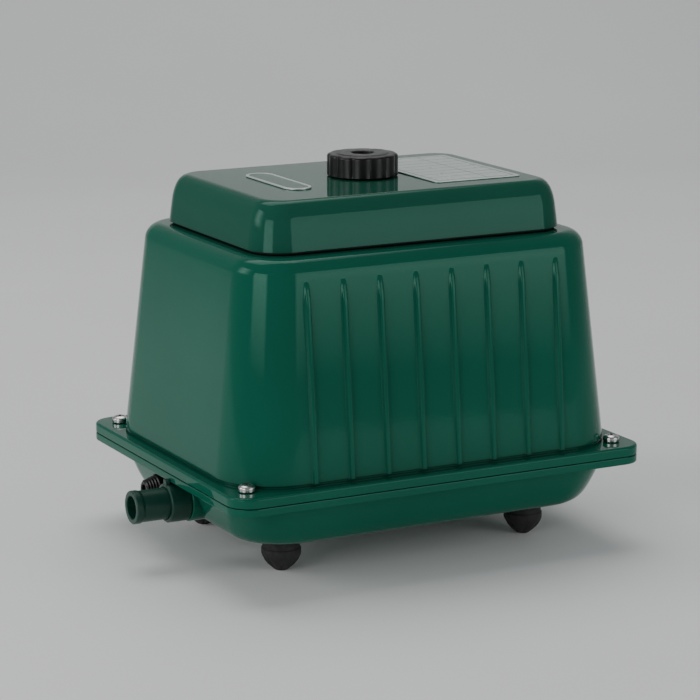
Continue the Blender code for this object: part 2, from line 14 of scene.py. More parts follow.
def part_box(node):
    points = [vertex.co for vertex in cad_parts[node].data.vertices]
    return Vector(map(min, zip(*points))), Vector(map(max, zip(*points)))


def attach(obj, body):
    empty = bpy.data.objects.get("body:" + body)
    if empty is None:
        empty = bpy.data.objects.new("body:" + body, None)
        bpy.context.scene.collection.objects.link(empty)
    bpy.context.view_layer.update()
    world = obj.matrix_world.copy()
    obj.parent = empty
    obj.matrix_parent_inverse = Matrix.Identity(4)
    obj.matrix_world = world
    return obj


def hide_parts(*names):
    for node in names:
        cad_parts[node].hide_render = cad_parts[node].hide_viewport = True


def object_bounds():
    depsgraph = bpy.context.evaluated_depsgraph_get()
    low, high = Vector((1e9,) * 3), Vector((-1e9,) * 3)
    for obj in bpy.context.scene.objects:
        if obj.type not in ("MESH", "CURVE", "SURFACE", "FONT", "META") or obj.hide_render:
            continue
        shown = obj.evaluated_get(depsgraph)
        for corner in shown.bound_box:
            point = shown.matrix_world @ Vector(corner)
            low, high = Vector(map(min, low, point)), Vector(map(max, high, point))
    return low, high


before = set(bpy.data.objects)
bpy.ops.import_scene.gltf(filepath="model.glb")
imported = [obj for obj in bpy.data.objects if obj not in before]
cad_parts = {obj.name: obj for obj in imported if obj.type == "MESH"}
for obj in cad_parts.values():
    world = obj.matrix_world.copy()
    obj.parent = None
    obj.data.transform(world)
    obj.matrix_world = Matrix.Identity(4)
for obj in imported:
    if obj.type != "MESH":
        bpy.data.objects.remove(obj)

CAD_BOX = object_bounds()
MM = 0.001

# ---------------------------------------------------------------- driving dimensions, in millimetres
RIM_HALF = (145.0, 115.0)
RIM_CORNER = 15.0
RIM_TOP = 60.0
RIM_SPLIT = 55.0
RIM_EDGE = 1.6
RIM_LIP = 1.2  # the rim's edge hangs this wide over the gasket, down to RIM_LIP_END
RIM_LIP_END = 53.8
GROOVE = (1.5, 1.5)  # depth and height of the shadow line where the wall stands on the rim
HOUSING_FOOT = (136.5, 105.0)
HOUSING_CORNER = 40.0
CORNER_TAPER = 0.07
DRAFT = (0.1095, 0.0964)
WALL_LEAN = math.radians(5.9)
DECK_TOP = 197.0
SHOULDER = 11.0
WALL = 3.5

RIB_PITCH = 25.0
RIBS_PER_SIDE = 8
RIB_HEIGHT = 2.4
RIB_REACH = 2.7
RIB_FULL_TOP = 168.0
RIB_TIP = 183.6
RIB_SAMPLES = (1.0, 0.84, 0.68, 0.54, 0.4, 0.22, 0.0)

TANK_RIM_TOP = 53.4
TANK_RIM_BOTTOM = 48.4
TANK_BOTTOM = 20.0
RIM_SCREW = (130.0, 97.0)
SCREW_HOLE = 3.1
SCREW_HEAD = 5.3
INLETS_X = (-45.0, 45.0)
FOOT = (88.0, 58.0)
FOOT_RADIUS = 12.5
FOOT_LOBES = 8
FOOT_LOBE_DEPTH = 1.5

PORT_Z = 35.0
PORT_FACE = -134.4
OUTLET_Y = -16.0
OUTLET_RADIUS = 10.0
OUTLET_BORE = 7.2
OUTLET_MOUTH = 171.0
COLLAR_LENGTH = 14.0
GLAND_Y = 19.0

COVER_BOTTOM = 199.5
COVER_TOP = 229.0
COVER_SKIRT = (108.7, 77.4, 22.0)
COVER_EDGE_Z = 213.0
COVER_EDGE = (106.8, 75.5, 20.0)
COVER_FLAT = (96.0, 65.4, 13.0)
COVER_CURVE = ((0.12, 0.55), (0.38, 1.0), (1.0, 1.0))  # the edge leans in, then turns over, as (inset, rise)
COVER_WALL = 3.0
COVER_LIP = 0.9  # the skirt's outer edge hangs this far below the seal's face
BADGE_HALF = (9.2, 35.0)
PLATE_HALF = (31.0, 50.0)
BADGE_X = -60.0
PLATE_X = 57.0

KNOB_RADIUS = 22.75
KNOB_BOTTOM = 229.4
KNOB_TOP = 244.0
KNOB_BORE = 7.0
KNOB_FLUTES = 12
KNOB_FLUTE_DEPTH = 1.15
STUD_RADIUS = 4.0
STUD_TOP = 238.5
INSERT_TOP = 237.5

DIAPHRAGM_WALL = 2.5
HUB_RADIUS = 24.0
FOLD_SPLIT = 27.0
FOLD_END = 36.0
FOLD_DEPTH = 2.2

CORNERS = {"front_left": (-1, -1), "front_right": (1, -1), "rear_left": (-1, 1), "rear_right": (1, 1)}
ARC_STEPS = 14
GAP = 0.3  # clearance between pieces

case_low, case_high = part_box("upper_housing")
ORIGIN = Vector(((case_low.x + case_high.x) / 2, (case_low.y + case_high.y) / 2, case_low.z - RIM_SPLIT * MM))


# ---------------------------------------------------------------- materials
class Look:
    """One procedural material: a Principled shader fed by noise in the object's own coordinates."""

    def __init__(self, name, roughness=0.5, metallic=0.0, **constants):
        self.material = bpy.data.materials.new(name)
        self.material.use_nodes = True
        self.tree = self.material.node_tree
        self.shader = self.tree.nodes["Principled BSDF"]
        self.shader.inputs["Roughness"].default_value = roughness
        self.shader.inputs["Metallic"].default_value = metallic
        for label, value in constants.items():
            self.shader.inputs[label.replace("_", " ")].default_value = value
        self.place = self.tree.nodes.new("ShaderNodeTexCoord").outputs["Object"]
        self.last_bump = None

    def node(self, kind, **settings):
        made = self.tree.nodes.new(kind)
        for label, value in settings.items():
            setattr(made, label, value)
        return made

    def join(self, source, target):
        self.tree.links.new(source, target)

    def stretched(self, stretch):
        mapping = self.node("ShaderNodeMapping")
        mapping.inputs["Scale"].default_value = stretch
        self.join(self.place, mapping.inputs["Vector"])
        return mapping.outputs["Vector"]

    def noise(self, scale, detail=3.0, stretch=(1, 1, 1)):
        made = self.node("ShaderNodeTexNoise")
        made.inputs["Scale"].default_value = scale
        made.inputs["Detail"].default_value = detail
        self.join(self.stretched(stretch), made.inputs["Vector"])
        return made.outputs["Fac"]

    def cells(self, scale):
        made = self.node("ShaderNodeTexVoronoi")
        made.inputs["Scale"].default_value = scale
        self.join(self.place, made.inputs["Vector"])
        return made.outputs["Distance"]

    def bands(self, scale, axis, distortion=0.0):
        made = self.node("ShaderNodeTexWave", wave_type="BANDS", bands_direction=axis, wave_profile="SIN")
        made.inputs["Scale"].default_value = scale
        made.inputs["Distortion"].default_value = distortion
        made.inputs["Detail"].default_value = 1.0
        self.join(self.place, made.inputs["Vector"])
        return made.outputs["Fac"]

    def ramp(self, factor, *stops):
        """Colours at positions 0 to 1 of the factor."""
        made = self.node("ShaderNodeValToRGB")
        elements = made.color_ramp.elements
        for index, (position, colour) in enumerate(stops):
            element = elements[index] if index < 2 else elements.new(position)
            element.position = position
            element.color = (*colour, 1.0)
        self.join(factor, made.inputs["Fac"])
        return made.outputs["Color"]

    def mix(self, factor, first, second, blend="MIX"):
        made = self.node("ShaderNodeMix", data_type="RGBA", blend_type=blend)
        if isinstance(factor, float):
            made.inputs[0].default_value = factor
        else:
            self.join(factor, made.inputs[0])
        self.join(first, made.inputs[6])
        self.join(second, made.inputs[7])
        return made.outputs[2]

    def range(self, value, low, high, from_low=0.3, from_high=0.7):
        made = self.node("ShaderNodeMapRange")
        made.inputs["From Min"].default_value = from_low
        made.inputs["From Max"].default_value = from_high
        made.inputs["To Min"].default_value = low
        made.inputs["To Max"].default_value = high
        self.join(value, made.inputs["Value"])
        return made.outputs["Result"]

    def colour(self, source):
        self.join(source, self.shader.inputs["Base Color"])
        return self

    def rough(self, value, low, high):
        self.join(self.range(value, low, high), self.shader.inputs["Roughness"])
        return self

    def bump(self, height, depth_mm, strength=1.0):
        made = self.node("ShaderNodeBump")
        made.inputs["Strength"].default_value = strength
        made.inputs["Distance"].default_value = depth_mm * MM
        self.join(height, made.inputs["Height"])
        if self.last_bump:
            self.join(self.last_bump, made.inputs["Normal"])
        self.last_bump = made.outputs["Normal"]
        self.join(self.last_bump, self.shader.inputs["Normal"])
        return self

    def crevice_shade(self, colour, reach_mm, shade_colour):
        """Painted shade: mixes a darker colour in where surfaces meet at close range, where ambient occlusion
        finds them.
        """
        close = self.node("ShaderNodeAmbientOcclusion", samples=8)
        close.inputs["Distance"].default_value = reach_mm * MM
        return self.mix(self.range(close.outputs["AO"], 0.0, 1.0, 0.25, 0.95), self.plain(shade_colour), colour)

    def plain(self, colour):
        made = self.node("ShaderNodeRGB")
        made.outputs[0].default_value = (*colour, 1.0)
        return made.outputs[0]


def scaled(colour, factor):
    return tuple(value * factor for value in colour)


def paint(name, colour, gloss, sheen_colour):
    """Glossy enamel on a casting: faint orange peel, slow drift of colour, and painted shade darkening the
    corners where surfaces meet.
    """
    look = Look(name, IOR=1.5, Specular_IOR_Level=gloss, Specular_Tint=(*sheen_colour, 1.0))
    drift = look.noise(9.0, 4.0)
    tone = look.ramp(drift, (0.3, scaled(colour, 0.93)), (0.7, scaled(colour, 1.07)))
    fleck = look.ramp(look.noise(1500.0, 2.0), (0.35, (0.96, 0.97, 0.96)), (0.65, (1.03, 1.03, 1.03)))
    shaded = look.mix(1.0, tone, fleck, "MULTIPLY")
    # painted shade: the colour darkens to 55 % in corners and creases, read from ambient occlusion over 5 mm
    look.colour(look.crevice_shade(shaded, 5.0, scaled(colour, 0.55)))
    look.rough(look.noise(60.0, 5.0), 0.025, 0.05)
    look.bump(look.noise(420.0, 1.5), 0.010)
    look.bump(look.noise(26.0, 1.0), 0.03)
    return look.material


def plastic(name, colour, low, high, grain=1700.0, depth=0.03):
    """Moulded plastic with a fine spark-eroded grain, slightly uneven sheen, and painted shade in its creases.
    """
    look = Look(name, IOR=1.47, Specular_IOR_Level=0.4)
    tone = look.ramp(look.noise(40.0, 4.0), (0.3, scaled(colour, 0.85)), (0.7, scaled(colour, 1.2)))
    # painted shade: the colour darkens to 60 % in creases, read from ambient occlusion over 3 mm
    look.colour(look.crevice_shade(tone, 3.0, scaled(colour, 0.6)))
    look.rough(look.noise(150.0, 5.0), low, high)
    look.bump(look.noise(grain, 3.0), depth)
    return look.material


def rubber(name, colour):
    """Matt rubber with a bloom of pale dust."""
    look = Look(name, IOR=1.5)
    bloom = look.noise(70.0, 6.0)
    look.colour(look.ramp(bloom, (0.35, colour), (0.75, scaled(colour, 2.4))))
    look.rough(look.noise(220.0, 4.0), 0.55, 0.85)
    look.bump(look.noise(900.0, 4.0), 0.05)
    return look.material


def metal(name, colour, low, high, stretch=(1, 1, 1), scale=600.0, depth=0.008):
    """Bare metal with fine tool marks along the stretched direction."""
    look = Look(name, metallic=1.0)
    marks = look.noise(scale, 4.0, stretch)
    look.colour(look.ramp(marks, (0.3, scaled(colour, 0.82)), (0.7, colour)))
    look.rough(look.noise(scale * 0.4, 5.0, stretch), low, high)
    look.bump(marks, depth)
    return look.material


def laminated(name):
    """Stacked core sheets: half-millimetre bands with a dull, slightly blued edge."""
    look = Look(name, metallic=0.9)
    sheets = look.bands(310.0, "Z", 0.4)
    look.colour(look.ramp(sheets, (0.1, (0.07, 0.075, 0.085)), (0.6, (0.26, 0.27, 0.30))))
    look.rough(look.noise(300.0, 4.0), 0.38, 0.6)
    look.bump(sheets, 0.08)
    return look.material


def winding(name):
    """Enamelled copper wire laid side by side."""
    look = Look(name, metallic=0.75, Coat_Weight=0.5, Coat_Roughness=0.15)
    turns = look.bands(250.0, "Y", 0.6)
    look.colour(look.ramp(turns, (0.0, (0.16, 0.045, 0.014)), (0.7, (0.55, 0.20, 0.07))))
    look.rough(look.noise(400.0, 3.0), 0.22, 0.4)
    look.bump(turns, 0.25)
    return look.material


def foam(name):
    """Open-cell filter foam."""
    look = Look(name, IOR=1.4)
    pores = look.cells(420.0)
    grime = look.ramp(look.noise(22.0, 4.0), (0.35, (0.75, 0.72, 0.66)), (0.7, (1.1, 1.1, 1.1)))
    struts = look.ramp(pores, (0.15, (0.006, 0.006, 0.007)), (0.6, (0.075, 0.077, 0.085)))
    look.colour(look.mix(1.0, struts, grime, "MULTIPLY"))
    look.rough(look.noise(300.0, 3.0), 0.85, 0.98)
    look.bump(pores, 1.2)
    return look.material


def foil(name, colour, low=0.26, high=0.42):
    """Printed foil: brushed, faintly mottled."""
    look = Look(name, metallic=0.35, Coat_Weight=0.35, Coat_Roughness=0.12)
    brushed = look.noise(500.0, 4.0, (0.03, 1, 1))
    look.colour(look.ramp(brushed, (0.3, scaled(colour, 0.9)), (0.7, scaled(colour, 1.04))))
    look.rough(look.noise(120.0, 4.0), low, high)
    look.bump(brushed, 0.006)
    return look.material


CASE_GREEN = (0.0034, 0.098, 0.061)
COVER_GREEN = (0.0095, 0.086, 0.055)
LOOKS = {
    "case_paint": paint("case_paint_look", CASE_GREEN, 0.19, (0.60, 1.0, 0.82)),
    "cover_paint": paint("cover_paint_look", COVER_GREEN, 0.17, (0.55, 1.0, 0.85)),
    "black_plastic": plastic("black_plastic_look", (0.0065, 0.0055, 0.0065), 0.26, 0.38),
    "pipe_plastic": plastic("pipe_plastic_look", (0.005, 0.044, 0.029), 0.30, 0.44),
    "rubber": rubber("rubber_look", (0.012, 0.011, 0.012)),
    "stainless_steel": metal("stainless_steel_look", (0.66, 0.66, 0.64), 0.16, 0.30),
    "brass": metal("brass_look", (0.74, 0.54, 0.22), 0.20, 0.36, (1, 1, 6)),
    "aluminium": metal("aluminium_look", (0.72, 0.73, 0.74), 0.34, 0.52, (1, 1, 1), 900.0, 0.02),
    "core_steel": laminated("core_steel_look"),
    "coil_winding": winding("coil_winding_look"),
    "magnet": metal("magnet_look", (0.14, 0.14, 0.15), 0.40, 0.60, (1, 1, 1), 350.0, 0.015),
    "filter_foam": foam("filter_foam_look"),
    "terminal_plastic": plastic("terminal_plastic_look", (0.66, 0.65, 0.60), 0.35, 0.5),
    "badge_foil": foil("badge_foil_look", (0.62, 0.70, 0.66)),
    "rating_foil": foil("rating_foil_look", (0.55, 0.64, 0.60)),
}
PRINTED_LINE = foil("printed_line_look", (0.10, 0.13, 0.12), 0.4, 0.5)


# ---------------------------------------------------------------- shapes: (points, faces) in millimetres
def skin(rings, loop=False):
    """Bridges rings of equal length. Each end is closed with a fan about its middle unless the rings loop."""
    count = len(rings[0])
    points = [point for ring in rings for point in ring]
    faces = []
    for first in range(len(rings) if loop else len(rings) - 1):
        second = (first + 1) % len(rings)
        for i in range(count):
            j = (i + 1) % count
            faces.append((first * count + i, first * count + j, second * count + j, second * count + i))
    if loop:
        return points, faces
    for start, turn in ((0, -1), (len(points) - count, 1)):
        ring = range(start, start + count)
        middle = sum((Vector(points[index]) for index in ring), Vector()) / count
        points.append(tuple(middle))
        faces += [(ring[i - 1], ring[i], len(points) - 1)[::turn] for i in range(count)]
    return points, faces


def smooth(share):
    share = max(0.0, min(1.0, share))
    return share * share * (3 - 2 * share)


def rib_crest(reach):
    """Height of a rib across its width: reach is 0 at its middle and 1 at its foot."""
    return smooth((1 - reach) / 0.72)


def rib_rise(z):
    """(height, share of the full width) of a rib at this height: full below, narrowing to a smooth tip."""
    climb = max(0.0, min(1.0, (z - RIB_FULL_TOP) / (RIB_TIP - RIB_FULL_TOP)))
    return RIB_HEIGHT * (1 - climb ** 2.2), 1 - 0.35 * climb ** 2


def outline(half_x, half_y, radius, z, rib=None, arc=ARC_STEPS, spare=6):
    """A rounded rectangle, anticlockwise. rib is (height, share of width), or None for plain long sides."""
    ring = []
    for quarter, (side_x, side_y) in enumerate(((1, 1), (-1, 1), (-1, -1), (1, -1))):
        centre = (side_x * (half_x - radius), side_y * (half_y - radius))
        for step in range(arc + 1):
            turn = math.radians(90 * (quarter + step / arc))
            ring.append((centre[0] + radius * math.cos(turn), centre[1] + radius * math.sin(turn), z))
        if quarter in (0, 2) and rib is not None:
            height, width = rib
            for index in range(RIBS_PER_SIDE):
                middle = side_x * RIB_PITCH * ((RIBS_PER_SIDE - 1) / 2 - index)
                reaches = [reach for reach in RIB_SAMPLES] + [-reach for reach in RIB_SAMPLES[-2::-1]]
                for reach in reaches:
                    x = middle + side_x * reach * RIB_REACH * width
                    ring.append((x, side_y * (half_y + height * rib_crest(abs(reach))), z))
        else:
            straight = half_x - radius if quarter in (0, 2) else half_y - radius
            for step in range(1, spare):
                along = straight * (1 - 2 * step / spare)
                if quarter in (0, 2):
                    ring.append((side_x * along, side_y * half_y, z))
                else:
                    ring.append((side_x * half_x, side_y * along, z))
    return ring


def circle(radius, z, steps):
    turns = [2 * math.pi * i / steps for i in range(steps)]
    return [(radius * math.cos(turn), radius * math.sin(turn), z) for turn in turns]


def turned(profile, steps=64, loop=False):
    return skin([circle(radius, z, steps) for radius, z in profile], loop)


def arc_points(centre, radius, start, end, steps):
    """Points on an arc in the (radius, z) plane, angles in degrees from the +radius direction."""
    turns = [math.radians(start + (end - start) * i / steps) for i in range(steps + 1)]
    return [(centre[0] + radius * math.cos(turn), centre[1] + radius * math.sin(turn)) for turn in turns]


def rod(start, end, radius, steps=48):
    start, end = Vector(start), Vector(end)
    upright = (end - start).to_track_quat("Z", "Y")
    points, faces = turned([(radius, 0.0), (radius, (end - start).length)], steps)
    return [tuple(start + upright @ Vector(point)) for point in points], faces


def block(low, high):
    corners = [(low[0], low[1]), (high[0], low[1]), (high[0], high[1]), (low[0], high[1])]
    return skin([[(x, y, z) for x, y in corners] for z in (low[2], high[2])])


# ---------------------------------------------------------------- objects
def mesh_object(name, shape, sharp=38.0):
    points, faces = shape
    mesh = bpy.data.meshes.new(name)
    mesh.from_pydata([tuple(value * MM for value in point) for point in points], [], faces)
    editable = bmesh.new()
    editable.from_mesh(mesh)
    bmesh.ops.remove_doubles(editable, verts=editable.verts, dist=1e-7)
    bmesh.ops.recalc_face_normals(editable, faces=editable.faces)
    editable.to_mesh(mesh)
    editable.free()
    made = bpy.data.objects.new(name, mesh)
    bpy.context.scene.collection.objects.link(made)
    mesh.shade_smooth()
    mesh.set_sharp_from_angle(angle=math.radians(sharp))
    return made


def boolean(piece, operation, *shapes):
    """Cuts or joins shapes one after another, and keeps the result as the piece's mesh."""
    helpers = []
    for shape in shapes:
        helper = mesh_object(f"{piece.name}_tool", shape)
        helper.matrix_world = piece.matrix_world
        modifier = piece.modifiers.new("tool", "BOOLEAN")
        modifier.operation, modifier.object, modifier.solver = operation, helper, "EXACT"
        helpers.append(helper)
    bpy.context.view_layer.update()
    result = bpy.data.meshes.new_from_object(piece.evaluated_get(bpy.context.evaluated_depsgraph_get()))
    piece.modifiers.clear()
    piece.data = result
    for helper in helpers:
        bpy.data.objects.remove(helper)
    result.shade_smooth()
    result.set_sharp_from_angle(angle=math.radians(38))


def settle(piece, body, look, node, turn=(0, 0, 0), place=(0, 0, 0)):
    """Gives a finished piece its material, its place and its body, and hides the CAD node it stands for."""
    piece.data.materials.append(LOOKS[look])
    piece.rotation_euler = [math.radians(value) for value in turn]
    piece.location = ORIGIN + Vector(place) * MM
    flat = piece.modifiers.new("even shading", "WEIGHTED_NORMAL")
    flat.keep_sharp = True
    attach(piece, body)
    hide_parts(node)


# ---------------------------------------------------------------- housing and tank
def wall_at(z, inset=0.0):
    """Half sizes and corner radius of the housing's outer wall at this height, moved in by inset."""
    rise = z - RIM_TOP
    half_x = HOUSING_FOOT[0] - DRAFT[0] * rise - inset
    half_y = HOUSING_FOOT[1] - DRAFT[1] * rise - inset
    return half_x, half_y, HOUSING_CORNER - CORNER_TAPER * rise - inset


def rim_ring(inset, z):
    return outline(RIM_HALF[0] - inset, RIM_HALF[1] - inset, RIM_CORNER - inset, z, (0.0, 1.0))


def quarter(steps):
    """(sine, one minus cosine) from 0 to 90 degrees."""
    turns = [math.radians(90 * step / steps) for step in range(steps + 1)]
    return [(math.sin(turn), 1 - math.cos(turn)) for turn in turns]


def upper_housing():
    plain = (0.0, 1.0)
    ceiling = DECK_TOP - WALL
    shoulder_z = DECK_TOP - SHOULDER * (1 - math.sin(WALL_LEAN))
    rings = [outline(*wall_at(shoulder_z, SHOULDER), ceiling, plain),
             outline(*wall_at(shoulder_z, WALL + 2), ceiling - 4, plain),
             outline(*wall_at(shoulder_z - 3, WALL), shoulder_z - 3, plain),
             outline(*wall_at(RIM_TOP, WALL), RIM_SPLIT, plain), rim_ring(RIM_LIP, RIM_SPLIT),
             rim_ring(RIM_LIP, RIM_LIP_END)]
    rings += [rim_ring(0.3 * (1 - high), RIM_LIP_END + 0.3 * low) for high, low in quarter(3)]
    rings += [rim_ring(RIM_EDGE * inset, RIM_TOP - RIM_EDGE * (1 - rise)) for rise, inset in quarter(5)]
    groove_top = RIM_TOP + GROOVE[1]
    rings += [outline(*wall_at(RIM_TOP, GROOVE[0] - 0.3), RIM_TOP, plain),
              outline(*wall_at(RIM_TOP, GROOVE[0]), RIM_TOP + 0.3, plain),
              outline(*wall_at(RIM_TOP, GROOVE[0]), groove_top - 0.3, plain),
              outline(*wall_at(RIM_TOP, GROOVE[0] - 0.3), groove_top, plain)]
    for rise, inset in quarter(4):
        z = groove_top + 0.5 * inset
        rings.append(outline(*wall_at(z, 0.5 * (1 - rise)), z, rib_rise(z)))
    levels = [75, 95, 115, 135, 155, RIB_FULL_TOP]
    levels += [RIB_FULL_TOP + (RIB_TIP - RIB_FULL_TOP) * math.sin(math.radians(9 * k)) for k in range(1, 11)]
    rings += [outline(*wall_at(z), z, rib_rise(z)) for z in levels]
    steps = 14
    for step in range(steps + 1):
        lean = WALL_LEAN + (math.pi / 2 - WALL_LEAN) * step / steps
        inset = SHOULDER * (math.cos(WALL_LEAN) - math.cos(lean))
        z = shoulder_z + SHOULDER * (math.sin(lean) - math.sin(WALL_LEAN))
        rings.append(outline(*wall_at(shoulder_z, inset), z, plain))
    housing = mesh_object("housing_shell", skin(rings))
    inlets = [rod((x, 0, ceiling - 3), (x, 0, DECK_TOP + 3), 11) for x in INLETS_X]
    bores = [rod((x * RIM_SCREW[0], y * RIM_SCREW[1], RIM_SPLIT - 3),
                 (x * RIM_SCREW[0], y * RIM_SCREW[1], RIM_TOP + 3), SCREW_HOLE, 24)
             for x, y in CORNERS.values()]
    stud_hole = rod((0, 0, ceiling - 3), (0, 0, DECK_TOP + 3), STUD_RADIUS + GAP, 32)
    boolean(housing, "DIFFERENCE", stud_hole, *inlets, *bores)
    settle(housing, "housing", "case_paint", "upper_housing")


def tank_section(share):
    """Half sizes, corner radius and height of the tank's outer wall, from the rim (0) to the bottom (1)."""
    knots = ((134.0, 105.0, 34.0, TANK_RIM_BOTTOM), (128.2, 99.2, 36.0, 29.5), (125.6, 96.6, 34.5, 20.2),
             (116.0, 87.0, 28.0, TANK_BOTTOM))
    ways = ((1 - share) ** 3, 3 * share * (1 - share) ** 2, 3 * share ** 2 * (1 - share), share ** 3)
    return [sum(way * knot[axis] for way, knot in zip(ways, knots)) for axis in range(4)]


def base_tank():
    inside = ((112.0, 83.0, 25.0, 24.0), (121.0, 92.0, 31.0, 25.8), (125.0, 96.0, 33.0, 30.5),
              (129.5, 100.5, 33.0, 44.0), (133.8, 103.8, 36.0, 49.8), (133.8, 103.8, 36.0, TANK_RIM_TOP))
    rings = [outline(*section) for section in inside]
    top, bottom, edge = TANK_RIM_TOP, TANK_RIM_BOTTOM, 0.8
    for inset, z in ((edge, top), (edge * 0.3, top - edge * 0.3), (0, top - edge), (0, bottom + edge),
                     (edge * 0.3, bottom + edge * 0.3), (edge, bottom)):
        rings.append(outline(RIM_HALF[0] - inset, RIM_HALF[1] - inset, RIM_CORNER - inset, z))
    rings += [outline(*tank_section(step / 16)) for step in range(17)]
    tank = mesh_object("tank_shell", skin(rings))
    spots = [(x * FOOT[0], y * FOOT[1]) for x, y in CORNERS.values()]
    boolean(tank, "UNION", *[rod((x, y, TANK_BOTTOM + 1.5), (x, y, 32), 7.5, 32) for x, y in spots],
            port_boss(13.2, OUTLET_Y), port_boss(10.5, GLAND_Y))
    holes = [rod((x, y, TANK_BOTTOM - 3), (x, y, 29), 3.4, 24) for x, y in spots]
    holes += [rod((x * RIM_SCREW[0], y * RIM_SCREW[1], bottom - 3),
                  (x * RIM_SCREW[0], y * RIM_SCREW[1], top + 3), SCREW_HOLE, 24) for x, y in CORNERS.values()]
    holes.append(rod((-110, OUTLET_Y, PORT_Z), (-140, OUTLET_Y, PORT_Z), OUTLET_RADIUS + GAP))
    holes.append(rod((-110, GLAND_Y, PORT_Z), (-140, GLAND_Y, PORT_Z), 6.3))
    boolean(tank, "DIFFERENCE", *holes)
    settle(tank, "housing", "case_paint", "base_tank")


def along_outlet(shape, y):
    """Turns a shape made about +Z so that its axis points to -X at the port height."""
    points, faces = shape
    return [(-z, y + py, PORT_Z + px) for px, py, z in points], faces


def port_boss(radius, y):
    face = -PORT_FACE
    profile = [(radius, 122), (radius, face - 0.9)] + arc_points((radius - 0.9, face - 0.9), 0.9, 15, 90, 5)
    return along_outlet(turned(profile), y)


def rim_screws():
    """Pan-head screws with a cross recess."""
    head = RIM_TOP + GAP
    profile = [(2.5, TANK_RIM_BOTTOM + 0.6), (2.5, head), (SCREW_HEAD - 0.4, head), (SCREW_HEAD, head + 0.4),
               (SCREW_HEAD, head + 2.2)]
    profile += [(SCREW_HEAD * math.cos(math.radians(a)), head + 2.2 + 2.4 * math.sin(math.radians(a)))
                for a in range(12, 85, 9)]
    for corner, (x, y) in CORNERS.items():
        screw = mesh_object(f"screw_{corner}", turned(profile, 48))
        slots = [block((-0.75, -2.9, head + 2.6), (0.75, 2.9, head + 7)),
                 block((-2.9, -0.75, head + 2.6), (2.9, 0.75, head + 7))]
        boolean(screw, "DIFFERENCE", *slots)
        settle(screw, "housing", "stainless_steel", f"rim_screw_{corner}", turn=(0, 0, 62),
               place=(x * RIM_SCREW[0], y * RIM_SCREW[1], 0))


def feet():
    """Push-on rubber feet: a drum, a step, a slightly wider ring and a lobed blunt cone."""
    floor = (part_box("rubber_foot_front_left")[0].z - ORIGIN.z) / MM
    drum, steps = FOOT_RADIUS - 0.8, 96
    top = TANK_BOTTOM - GAP
    plain = [(3.4, 7.5), (3.4, top), (drum - 0.6, top), (drum - 0.15, top - 0.25), (drum, top - 0.8),
             (drum, 10.3), (drum + 0.1, 10.05), (FOOT_RADIUS - 0.25, 9.6), (FOOT_RADIUS, 9.2),
             (FOOT_RADIUS, 6.0)]
    cone = [(12.3, 4.9), (11.7, 3.4), (10.7, 1.6), (9.3, -0.2), (7.6, -1.9), (5.9, -3.3), (4.7, -4.3),
            (3.9, floor + 0.1), (3.5, floor)]
    rings = [circle(radius, z, steps) for radius, z in plain]
    for index, (radius, z) in enumerate(cone):
        depth = FOOT_LOBE_DEPTH * math.sin(math.pi * min(1.0, (index + 0.5) / len(cone)))
        ring = []
        for i in range(steps):
            turn = 2 * math.pi * i / steps
            dip = depth * (1 - abs(math.cos(FOOT_LOBES * turn / 2)))
            ring.append(((radius - dip) * math.cos(turn), (radius - dip) * math.sin(turn), z))
        rings.append(ring)
    for corner, (x, y) in CORNERS.items():
        foot = mesh_object(f"foot_{corner}", skin(rings), 30)
        settle(foot, "housing", "rubber", f"rubber_foot_{corner}", place=(x * FOOT[0], y * FOOT[1], 0))


def outlet_and_gland():
    outer, bore, mouth, face = OUTLET_RADIUS, OUTLET_BORE, OUTLET_MOUTH, -PORT_FACE
    tube = [(bore, 120.5), (bore + 0.5, 120), (outer - 0.5, 120), (outer, 120.5), (outer, mouth - 6)]
    tube += [(outer + 0.15, mouth - 5.2), (outer + 0.5, mouth - 4.4), (outer + 0.6, mouth - 3.6),
             (outer + 0.6, mouth - 1.0)]
    tube += arc_points((outer - 0.3, mouth - 0.9), 0.9, 10, 90, 5)
    tube += arc_points((bore + 0.7, mouth - 0.7), 0.7, 90, 180, 5)
    pipe = mesh_object("outlet_tube", along_outlet(turned(tube, 96, True), OUTLET_Y))
    settle(pipe, "housing", "pipe_plastic", "outlet_pipe")
    hole = outer + GAP
    end = face + COLLAR_LENGTH
    profile = [(hole, face + GAP), (12.0, face + GAP), (12.4, face + 0.8), (12.4, end - 1.6)]
    profile += arc_points((11.3, end - 1.2), 1.1, 5, 85, 6) + [(hole + 0.2, end), (hole, end - 0.3)]
    collar = mesh_object("outlet_ring", along_outlet(turned(profile, 96, True), OUTLET_Y))
    lug = [[(x, OUTLET_Y + y * (2.2 - shrink), PORT_Z + top - shrink) for y, top in
            ((-1, 11), (1, 11), (1, 15), (0.8, 15.2), (-0.8, 15.2), (-1, 15))]
           for x, shrink in ((-end + 0.3, 0.25), (-end + 0.55, 0), (-end + 2.75, 0), (-end + 3.0, 0.25))]
    boolean(collar, "UNION", skin(lug))
    settle(collar, "housing", "pipe_plastic", "outlet_collar")
    gland = [(3.4, 122), (6.0, 122), (6.0, face + GAP), (8.6, face + GAP), (9.0, face + 0.8),
             (9.0, face + 4.4), (8.6, face + 5.0), (8.0, face + 5.3)]
    for index in range(4):
        z = face + 5.8 + index * 1.75
        reach = 7.9 - index * 0.55
        gland += [(reach - 0.5, z), (reach, z + 0.35), (reach, z + 0.95), (reach - 0.5, z + 1.3)]
    gland += [(5.4, face + 12.6), (5.0, face + 13), (3.8, face + 13), (3.4, face + 12.6)]
    sleeve = mesh_object("gland_sleeve", along_outlet(turned(gland, 64, True), GLAND_Y))
    settle(sleeve, "housing", "black_plastic", "cable_gland")


